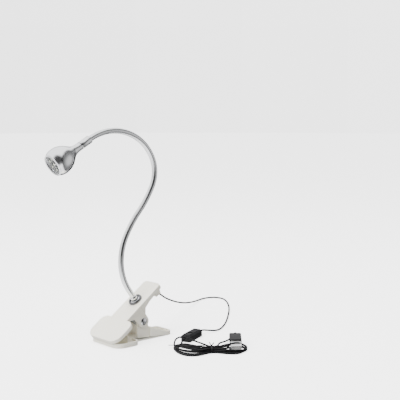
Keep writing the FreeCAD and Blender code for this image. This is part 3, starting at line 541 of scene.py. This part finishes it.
# ------------------------------------------------------------------ gooseneck
@dataclass
class Gooseneck:
    """The hose from the upper lever to the head: a wound chrome tube in the lamp's middle plane."""

    foot: Pair = (-0.699, 44.821)
    heading: float = 125.6
    runs: tuple[Pair, ...] = ((16.0, 0.5), (33.5, -33.5), (33.5, -30.5), (33.5, -14.5), (33.5, 15.5),
                              (33.5, 51.0), (33.5, 36.0), (33.5, 29.0), (34.5, 30.0))
    in_collar: float = 8.8
    radius: float = 3.2
    pitch: float = 0.95
    depth: float = 0.09
    flex: float = 6.0
    starts_at: float = 1.5
    rings_per_turn: int = 6

    def spot(self, distance: float) -> tuple[Vector, float]:
        """Find a place on the hose's middle line.

        Args:
            distance: Millimetres along it from the lever's face.

        Returns:
            The point in metres, and the heading there in degrees.
        """
        x, z = self.foot
        heading = self.heading
        left = distance
        for length, turn in (*self.runs, (self.in_collar + 1.0, 0.0)):
            step = min(left, length)
            half = math.radians(turn * step / length) / 2
            chord = step * (math.sin(half) / half if abs(half) > 1e-9 else 1.0)
            way = math.radians(heading) + half
            x, z = x + chord * math.cos(way), z + chord * math.sin(way)
            heading += turn * step / length
            left -= step
            if left <= 0:
                break
        return Vector((x * MM, 0.0, z * MM)), heading

    def stations(self) -> list[float]:
        """Return the distance of each hinge along the hose."""
        places, total = [], 0.0
        for length, _ in self.runs[:-1]:
            total += length
            places.append(total)
        return places

    def head_place(self) -> Matrix:
        """Return the transform from the head's own frame, +Z along its axis from the collar's seam."""
        tip, heading = self.spot(sum(length for length, _ in self.runs))
        way = Vector((math.cos(math.radians(heading)), 0.0, math.sin(math.radians(heading))))
        turn = Matrix.Rotation(math.radians(90.0 - heading), 4, "Y")
        return Matrix.Translation(tip + way * Head.collar_length * MM) @ turn

    def hose_piece(self, name: str, start: float, end: float, tree: bpy.types.NodeTree) -> bpy.types.Object:
        """Make the hose between two distances, in phase with its neighbours.

        Args:
            name: The piece's name.
            start: Where it begins along the hose.
            end: Where it ends.
            tree: The wound tube's node tree.

        Returns:
            The piece.
        """
        steps = max(8, round((end - start) / 1.0))
        points = [self.spot(start + (end - start) * i / steps)[0] for i in range(steps + 1)]
        base = line_object(name, points, CHROME)
        rings = round((end - start) / self.pitch * self.rings_per_turn) + 1
        piece = apply_tree(base, tree, {"Radius": self.radius * MM, "Depth": self.depth * MM,
                                        "Pitch": self.pitch * MM, "Offset": start * MM, "Rings": rings,
                                        "Sides": 40})
        piece.data.shade_smooth()
        return piece

    def build(self) -> None:
        """Make a stiff piece on each body, and a piece across each hinge."""
        tree = wound_tree("wound hose", CHROME)
        hinges = self.stations()
        bodies = ["root"] + ["neck_%d" % i for i in range(1, len(hinges))] + ["head"]
        nodes = ["neck_foot"] + ["neck_link_%d" % i for i in range(1, len(hinges))] + ["neck_tip"]
        total = sum(length for length, _ in self.runs) + self.in_collar
        for i, (body, node) in enumerate(zip(bodies, nodes)):
            start = hinges[i - 1] + self.flex if i > 0 else self.starts_at
            end = hinges[i] - self.flex if i < len(hinges) else total
            piece = self.hose_piece(node + "_hose", start, end, tree)
            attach(piece, body)
            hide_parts(node)
            LOG.info("hose on %s from %.1f to %.1f mm", body, start, end)
        for i, hinge in enumerate(hinges):
            piece = self.hose_piece("neck_flex_%d" % (i + 1), hinge - self.flex, hinge + self.flex, tree)
            start, _ = self.spot(hinge - self.flex)
            end, _ = self.spot(hinge + self.flex)
            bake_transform(piece)
            LOG.info("hose bends at hinge %d", i + 1)
        dress(JACKET, "neck_lead_foot", "neck_lead_tip", *["neck_lead_link_%d" % i for i in range(1, len(hinges))])
        dress(DARK_CHROME, "foot_ring")
        dress(CHROME, "foot_ferrule")
        dress(ZINC, "foot_stud", "foot_washer", "foot_nut")


# ------------------------------------------------------------------ head
@dataclass
class Head:
    """The lamp's head, given along its axis from the seam between the collar and the shell."""

    place: Matrix
    collar_length: float = 14.4
    collar_radius: float = 4.5
    mouth: float = 40.0
    mouth_radius: float = 12.6
    wall: float = 1.1
    cap_rise: float = 2.4
    led_count: int = 6
    led_circle: float = 6.6
    led_radius: float = 1.9

    def shell(self) -> None:
        """Make the bulb-shaped shell as one thin turned wall."""
        outer = smooth_outline([(4.35, 0.4), (4.5, 3.0), (4.75, 6.5), (5.9, 11.0), (7.8, 14.0), (12.1, 20.0),
                                (14.4, 25.5), (15.15, 31.0), (14.6, 36.0), (self.mouth_radius, self.mouth)])
        inner = [(radius - self.wall, along) for radius, along in outer if along > 3.0]
        outline = outer + inner[::-1] + [(3.0, 3.2), (3.0, 0.4)]
        shell = lathe("head_bulb", outline, self.place, SILVER, steps=128)
        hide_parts("head_shell")
        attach(shell, "head")

    def collar(self) -> None:
        """Make the collar with a rolled lip at each end."""
        r, back = self.collar_radius, -self.collar_length
        outline = [(3.2, back), (r - 0.55, back), (r - 0.2, back + 0.12), (r, back + 0.5), (r, -0.7),
                   (r - 0.12, -0.45), (r - 0.5, -0.1), (r - 0.5, 0.25), (2.9, 0.25), (2.9, 3.0), (1.6, 3.0),
                   (1.6, -5.4), (3.2, -5.4)]
        collar = lathe("head_neck_collar", outline, self.place, SILVER)
        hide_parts("head_collar")
        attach(collar, "head")
        rim = [(r - 0.5, 0.02), (r - 0.02, 0.02), (r + 0.02, 0.12), (r - 0.02, 0.38), (r - 0.5, 0.38)]
        gasket = lathe("head_seam_gasket", rim, self.place, BLACK_RUBBER)
        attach(gasket, "head")

    def window(self) -> None:
        """Make the bezel and the clear cap over the lamps."""
        r = self.mouth_radius
        bezel = lathe("mouth_bezel", [(r - 1.9, 37.4), (r - 1.15, 37.4), (r - 1.2, 39.9), (r - 0.15, 40.0),
                                      (r - 0.05, 40.5), (r - 0.45, 41.0), (r - 1.3, 41.25), (r - 1.8, 40.9),
                                      (r - 1.9, 40.4)], self.place, SILVER)
        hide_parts("lens_ring")
        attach(bezel, "head")
        outside = cap_outline(r - 2.0, 41.0, 41.0 + self.cap_rise)
        inside = cap_outline(r - 3.0, 39.9, 39.9 + self.cap_rise)
        outline = [(r - 2.0, 39.2)] + outside + inside[::-1] + [(r - 3.0, 39.2)]
        cap = lathe("clear_front_cap", outline, self.place, CLEAR)
        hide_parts("lens")
        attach(cap, "head")

    def lamps(self) -> None:
        """Set a row of LED domes on a circle by a node tree, with one in the middle."""
        maker = TreeMaker("led circle")
        maker.count("Count", self.led_count)
        maker.number("Circle", self.led_circle * MM)
        given = maker.inputs()
        circle = maker.node("GeometryNodeMeshCircle", fill_type="NONE")
        maker.join(given.outputs["Count"], circle.inputs["Vertices"])
        maker.join(given.outputs["Circle"], circle.inputs["Radius"])
        middle = maker.node("GeometryNodeMeshLine")
        middle.inputs["Count"].default_value = 1
        points = maker.node("GeometryNodeJoinGeometry")
        maker.join(circle.outputs["Mesh"], points.inputs["Geometry"])
        maker.join(middle.outputs["Mesh"], points.inputs["Geometry"])
        copies = maker.node("GeometryNodeInstanceOnPoints")
        maker.join(points.outputs["Geometry"], copies.inputs["Points"])
        maker.join(given.outputs["Geometry"], copies.inputs["Instance"])
        tree = maker.finish(copies.outputs["Instances"], LED_DOME)
        dome = [(0.0, 36.3)] + [(self.led_radius, 36.3)] + cap_outline(self.led_radius, 37.3, 38.6)
        seed = lathe("led_domes", dome, Matrix.Identity(4), LED_DOME, steps=32)
        domes = apply_tree(seed, tree, {"Count": self.led_count, "Circle": self.led_circle * MM})
        domes.data.transform(self.place)
        shade_by_angle(domes.data)
        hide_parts("led_lamps")
        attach(domes, "head")

    def build(self) -> None:
        """Make every piece of the head."""
        self.shell()
        self.collar()
        self.window()
        self.lamps()
        dress(MIRROR_CUP, "led_reflector")
        dress(BOARD, "led_board")
        dress(CAST, "heat_sink")
        dress(JACKET, "head_leads")
        LOG.info("head built")


# ------------------------------------------------------------------ clip
@dataclass
class Clip:
    """The two sprung levers with their pads, pivot and small parts."""

    edge: float = 0.45

    def build(self) -> None:
        """Make the moulded levers and dress the rest."""
        for node, body in (("upper_lever", "root"), ("lower_lever", "clip_lower")):
            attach(softened(node, IVORY, width=self.edge), body)
        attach(softened("wire_cover", IVORY, width=0.2), "root")
        dress(PAD, "upper_jaw_pad", "lower_jaw_pad")
        dress(CHROME, "pivot_rivet", "rivet_cap")
        dress(WIRE_STEEL, "torsion_spring", "spring_tail")
        dress(ZINC, "cover_screws")
        dress(IVORY, "cord_grommet")
        dress(JACKET, "room_lead")
        LOG.info("clip built")


# ------------------------------------------------------------------ lead, switch, plug
@dataclass
class HankTurn:
    """One turn of the folded lead: how far it reaches and how wide it spreads, in millimetres."""

    left: float
    right: float
    far_left: float
    near_left: float
    near_right: float
    far_right: float
    lift_far_left: float = 1.1
    lift_near_left: float = 1.1
    lift_near_right: float = 1.1
    lift_far_right: float = 1.1


@dataclass
class Lead:
    """The whole lead, from the clip's exit through the switch and the hank to the plug."""

    radius: float = 1.0
    hank_at: Pair = (33.0, -93.0)
    hank_turn: float = -38.0
    tie_across: float = -12.5
    left_tip: float = 7.5
    right_tip: float = -7.0
    points_per_turn: int = 16
    length: float = 1.6
    to_switch: tuple[Point, ...] = (
        (34.9, 0.0, 47.5), (42.2, 0.0, 42.2), (57.0, 11.0, 36.0), (74.0, 25.0, 29.5), (99.0, 46.0, 20.5),
        (123.0, 61.0, 13.0), (150.0, 79.0, 6.5), (175.0, 95.0, 2.2), (197.0, 105.5, 1.1), (213.5, 102.0, 1.1),
        (218.0, 86.0, 1.1), (205.0, 64.0, 1.1), (184.0, 38.0, 1.1), (154.0, 8.0, 1.1), (125.0, -18.5, 1.1),
        (104.0, -34.0, 1.1), (90.0, -40.5, 1.5), (79.5, -39.5, 3.2), (70.2, -35.0, 4.6), (60.1, -39.5, 4.6))
    to_hank: tuple[Point, ...] = (
        (45.5, -46.0, 4.6), (30.9, -52.5, 4.6), (24.5, -55.4, 4.4), (18.6, -59.4, 3.2), (14.0, -65.0, 2.4),
        (15.2, -75.9, 1.3), (17.6, -88.0, 1.1), (21.2, -97.0, 1.1))
    to_plug: tuple[Point, ...] = (
        (26.5, -88.0, 6.0), (26.8, -95.5, 5.2), (29.5, -100.5, 4.9), (34.5, -101.5, 4.9), (39.0, -98.5, 4.5),
        (44.0, -94.0, 4.0), (50.0, -89.5, 3.4), (57.0, -88.0, 3.0), (65.0, -84.5, 2.2),
        (72.0, -80.5, 1.5), (77.5, -79.0, 2.6), (80.6, -81.2, 5.6), (79.0, -84.2, 9.2), (74.8, -87.7, 9.8),
        (70.1, -93.1, 9.0), (68.2, -95.3, 8.5))
    turns: tuple[HankTurn, ...] = (
        HankTurn(41.5, 38.0, 17.0, -25.6, -15.0, 24.0),
        HankTurn(39.4, 40.0, 9.0, -19.0, -11.0, 14.0, lift_far_right=1.1),
        HankTurn(37.3, 21.5, 6.0, -12.0, -10.0, 12.0, 1.1, 1.1, 3.1, 3.1),
        HankTurn(36.0, 41.0, 12.5, -5.5, -7.5, 29.0, 3.2, 3.1, 1.1, 1.1),
        HankTurn(41.0, 39.5, 29.0, -15.0, -10.5, 8.0, 8.3, 3.2, 3.2, 8.4))
    tie_slots: tuple[Pair, ...] = (
        (3.3, 1.1), (-3.3, 1.1), (1.1, 1.1), (-1.1, 1.1), (2.2, 3.0), (-2.2, 3.0), (4.2, 3.1), (0.0, 3.0),
        (1.1, 4.9), (-1.1, 4.9))

    def in_hank(self, along: float, across: float, up: float) -> Vector:
        """Turn hank coordinates, in millimetres, into a point of the row frame, in metres."""
        angle = math.radians(self.hank_turn)
        x = self.hank_at[0] + along * math.cos(angle) - across * math.sin(angle)
        y = self.hank_at[1] + along * math.sin(angle) + across * math.cos(angle)
        return Vector((x, y, up)) * MM

    def turn_points(self, number: int) -> list[Vector]:
        """Work out one turn, from the tie over the right lobe, back through the tie and round the left.

        Args:
            number: The turn's place in the list, from 0.

        Returns:
            The turn's route points in metres.
        """
        turn = self.turns[number]
        points = []
        for i in range(self.points_per_turn):
            angle = math.pi / 2 - 2 * math.pi * i / self.points_per_turn
            c, s = math.cos(angle), math.sin(angle)
            if c >= 0:
                reach, tip, power = turn.right, self.right_tip, 1.4
                far, near = turn.far_right, turn.near_right
                lift = turn.lift_far_right if s >= 0 else turn.lift_near_right
            else:
                reach, tip, power = turn.left, self.left_tip, 0.9
                far, near = turn.far_left, turn.near_left
                lift = turn.lift_far_left if s >= 0 else turn.lift_near_left
            slot, height = self.tie_slots[2 * number + (0 if s >= 0 else 1)]
            at_tie = (1 - abs(c)) ** 1.5
            belly = abs(math.sin(2 * angle)) ** power
            spread = (far + near) / 2 * max(belly, c * c) + (far - near) / 2 * math.copysign(belly, s)
            across = self.tie_across + (tip - self.tie_across) * c * c + spread + slot * at_tie
            up = height * at_tie + (1 - at_tie) * (1.1 + (lift - 1.1) * max(belly, 0.25))
            points.append(self.in_hank(reach * c, across, up))
        return points

    def route(self) -> list[Vector]:
        """Return every route point of the lead, in metres."""
        points = [Vector(p) * MM for p in self.to_switch + self.to_hank]
        for number in range(len(self.turns)):
            points += self.turn_points(number)
        return points + [Vector(p) * MM for p in self.to_plug]

    def cord(self) -> bpy.types.Object:
        """Returns:
            The lead.
        """
        route = self.route()
        curve = bpy.data.curves.new("lead_cord", "CURVE")
        curve.dimensions = "3D"
        curve.bevel_depth = self.radius * MM
        curve.bevel_resolution = 4
        curve.use_fill_caps = True
        curve.resolution_u = 8
        spline = curve.splines.new("NURBS")
        spline.points.add(len(route) - 1)
        for point, place in zip(spline.points, route):
            point.co = (*place, 1.0)
        spline.order_u = 3
        spline.use_endpoint_u = True
        curve.materials.append(JACKET.material())
        made = bpy.data.objects.new("lead_cord", curve)
        bpy.context.collection.objects.link(made)
        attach(made, "root")
        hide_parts("cord_lead", "cord_tail", "cord_hank", "cord_end")
        return made

    def tie(self) -> None:
        """Make the flat tie round the hank, its twisted ears and its long loose end."""
        tie = self.tie_across
        wrap = []
        for i in range(26):
            angle = 2 * math.pi * i / 24 + math.pi / 2
            wide, tall = 5.9 * math.cos(angle), 3.35 * math.sin(angle)
            wrap.append(self.in_hank(0.12 * (i - 12) / 12, tie + wide, 3.5 + tall))
        pieces = [wrap]
        for side, height in ((-1, 11.2), (1, 10.4)):
            ear = [(0.1 * side, 0.0, 6.9), (0.5 * side, 0.2, 8.0), (1.5 * side, 0.9, 9.2), (2.6 * side, 1.4, height)]
            pieces.append([self.in_hank(u, tie + v, z) for u, v, z in ear])
        tail = [(-1.5, 1.8, 6.9), (-8.0, 5.0, 6.4), (-18.0, 11.0, 4.8), (-29.0, 16.5, 3.6), (-38.0, 19.4, 3.2),
                (-47.0, 20.6, 3.0)]
        pieces.append([self.in_hank(u, tie + v, z) for u, v, z in tail])
        work = bmesh.new()
        for points in pieces:
            ribbon(work, points, 1.7 * MM, 0.5 * MM)
        bmesh.ops.recalc_face_normals(work, faces=work.faces)
        mesh = bpy.data.meshes.new("twist_tie")
        work.to_mesh(mesh)
        work.free()
        made = add_object("twist_tie", mesh, BLACK)
        bevel = made.modifiers.new("soft edges", "BEVEL")
        bevel.width = 0.15 * MM
        bevel.segments = 2
        made = settle(made)
        shade_by_angle(made.data)
        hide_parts("hank_tie")
        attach(made, "root")

    def switch(self) -> None:
        """Round the switch's mouldings and dress its small parts."""
        for node in ("switch_base", "switch_cover"):
            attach(softened(node, BLACK, width=0.45), "root")
        dress(BLACK, "switch_button")
        dress(BLACK_RUBBER, "switch_boots")
        dress(BOARD, "switch_board")
        dress(ZINC, "switch_screws")

    def plug(self) -> None:
        """Round the plug's overmould and dress its metal."""
        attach(softened("plug_overmould", BLACK, width=0.5), "root")
        dress(NICKEL, "plug_shell")
        dress(WHITE_INSERT, "plug_tongue")
        dress(GOLD, "plug_contacts")

    def build(self) -> None:
        cord = self.cord()
        self.tie()
        self.switch()
        self.plug()
        LOG.info("lead built with %d route points", len(self.route()))


def ribbon(work: bmesh.types.BMesh, points: Sequence[Vector], width: float, thickness: float) -> None:
    """Sweep a flat strip along points, its width kept level.

    Args:
        work: The mesh that gets the strip.
        points: The strip's middle line.
        width: The strip's width.
        thickness: Its thickness.
    """
    rings = []
    for i, point in enumerate(points):
        way = (points[min(i + 1, len(points) - 1)] - points[max(i - 1, 0)]).normalized()
        side = way.cross(Vector((0, 0, 1)))
        if side.length < 0.35:
            side = way.cross(Vector((0.616, 0.788, 0)))
        side.normalize()
        flat = way.cross(side).normalized()
        ring = [point + side * a * width / 2 + flat * b * thickness / 2
                for a, b in ((-1, -1), (1, -1), (1, 1), (-1, 1))]
        rings.append([work.verts.new(corner) for corner in ring])
    for near, far in zip(rings, rings[1:]):
        for k in range(4):
            work.faces.new((near[k], near[(k + 1) % 4], far[(k + 1) % 4], far[k]))
    work.faces.new(rings[0][::-1])
    work.faces.new(rings[-1])


# ------------------------------------------------------------------ studio
@dataclass
class Studio:
    """Camera, pale floor and soft light."""

    stand: Point = (-0.6477, -0.8485, 0.2812)
    azimuth: float = 38.0
    elevation: float = 14.3
    heading: float = 41.34
    dip: float = 6.40
    lens: float = 84.16
    backdrop_light: float = 3.0
    base_light: float = 2.3
    near_stops: tuple[Pair, ...] = ((0.0, 0.02), (1.0, 0.03), (0.07, 0.03), (0.17, 1.0), (0.80, 1.0), (0.93, 0.04))
    right_stops: tuple[Pair, ...] = ((0.0, 0.5), (1.0, 0.4), (0.10, 1.0), (0.69, 1.0), (0.78, 0.05), (0.90, 0.12))

    def camera(self) -> None:
        """Stand the camera level in front of the lamp, with the clip low and left in its view."""
        data = bpy.data.cameras.new("camera")
        data.lens = self.lens
        data.sensor_width = 36.0
        made = bpy.data.objects.new("camera", data)
        bpy.context.collection.objects.link(made)
        made.location = self.stand
        made.rotation_euler = (math.radians(90.0 - self.dip), 0.0, -math.radians(self.heading))
        bpy.context.scene.camera = made

    def backdrop(self) -> None:
        """Lay a wide pale floor under a dome of the same tone, which light only the view itself."""
        pale = Finish("pale_backdrop", (0.80, 0.80, 0.80), (0.79, 0.79, 0.79), (0.7, 0.8), relief=0.0,
                      glow=self.backdrop_light)
        half = 6.0
        floor = bpy.data.meshes.new("floor")
        floor.from_pydata([(-half, -half, 0), (half, -half, 0), (half, half, 0), (-half, half, 0)], [],
                          [(0, 1, 2, 3)])
        work = bmesh.new()
        bmesh.ops.create_uvsphere(work, u_segments=48, v_segments=24, radius=half)
        bmesh.ops.reverse_faces(work, faces=work.faces)
        dome = bpy.data.meshes.new("dome")
        work.to_mesh(dome)
        work.free()
        for name, mesh in (("floor", floor), ("dome", dome)):
            made = add_object(name, mesh, pale)
            made.visible_glossy = False
            made.visible_diffuse = False
            made.visible_transmission = False
            made.visible_shadow = False

    def lamp(self, name: str, place: Point, aim: Point, size: Pair, power: float) -> None:
        """Hang a soft rectangular light.

        Args:
            name: The light's name.
            place: Where it hangs, in metres.
            aim: The point that it faces.
            size: Its width and height.
            power: Its power in watts.
        """
        data = bpy.data.lights.new(name, "AREA")
        data.shape = "RECTANGLE"
        data.size, data.size_y = size
        data.energy = power
        made = bpy.data.objects.new(name, data)
        bpy.context.collection.objects.link(made)
        made.location = place
        made.rotation_euler = (Vector(aim) - Vector(place)).to_track_quat("-Z", "Y").to_euler()
        made.visible_glossy = False

    def world(self) -> None:
        """Fill the room with white light that has soft dark zones, for bright metal to show its shape."""
        room = bpy.data.worlds.new("room")
        room.use_nodes = True
        nodes, links = room.node_tree.nodes, room.node_tree.links
        sky = nodes["Background"]
        sky.inputs["Color"].default_value = (1.0, 1.0, 1.0, 1.0)
        coords = nodes.new("ShaderNodeTexCoord")
        turn, lift = math.radians(self.azimuth), math.radians(self.elevation)
        near = (-math.sin(turn) * math.cos(lift), -math.cos(turn) * math.cos(lift), math.sin(lift))
        right = (math.cos(turn), -math.sin(turn), 0.0)
        product = None
        for way, stops in ((near, self.near_stops), (right, self.right_stops)):
            facing = nodes.new("ShaderNodeVectorMath")
            facing.operation = "DOT_PRODUCT"
            facing.inputs[1].default_value = way
            links.new(coords.outputs["Generated"], facing.inputs[0])
            span = nodes.new("ShaderNodeMapRange")
            span.inputs["From Min"].default_value = -1.0
            span.inputs["From Max"].default_value = 1.0
            links.new(facing.outputs["Value"], span.inputs["Value"])
            bands = nodes.new("ShaderNodeValToRGB")
            ramp = bands.color_ramp
            ramp.interpolation = "EASE"
            for i, (at, light) in enumerate(stops):
                stop = ramp.elements[i] if i < 2 else ramp.elements.new(at)
                stop.position = at
                stop.color = (light, light, light, 1.0)
            links.new(span.outputs["Result"], bands.inputs["Fac"])
            if product is None:
                product = bands.outputs["Color"]
                continue
            times = nodes.new("ShaderNodeMath")
            times.operation = "MULTIPLY"
            links.new(product, times.inputs[0])
            links.new(bands.outputs["Color"], times.inputs[1])
            product = times.outputs[0]
        strength = nodes.new("ShaderNodeMath")
        strength.operation = "MULTIPLY"
        strength.inputs[1].default_value = self.base_light
        links.new(product, strength.inputs[0])
        links.new(strength.outputs[0], sky.inputs["Strength"])
        bpy.context.scene.world = room

    def across(self, right: float, near: float, up: float) -> Point:
        """Place something by how far it stands right of the lamp, and nearer, and up, in metres."""
        turn = math.radians(self.azimuth)
        return (right * math.cos(turn) - near * math.sin(turn), -right * math.sin(turn) - near * math.cos(turn), up)

    def build(self) -> None:
        """Set up the floor and dome, the world and the lights."""
        self.backdrop()
        self.world()
        middle = (0.0, 0.0, 0.10)
        self.lamp("key_light", self.across(-0.9, 0.9, 1.3), middle, (0.9, 0.9), 40.0)
        self.lamp("fill_light", self.across(0.9, 1.2, 1.0), middle, (0.7, 1.0), 12.0)
        self.lamp("top_light", self.across(0.0, -0.3, 1.5), middle, (1.2, 0.8), 20.0)
        LOG.info("studio built")


def main() -> None:
    """Build the lamp piece by piece."""
    logging.basicConfig(level=logging.INFO, format="%(message)s")
    studio = Studio()
    studio.camera()
    Lead().build()
    neck = Gooseneck()
    neck.build()
    Head(neck.head_place()).build()
    Clip().build()
    studio.build()


if __name__ == "__main__":
    main()
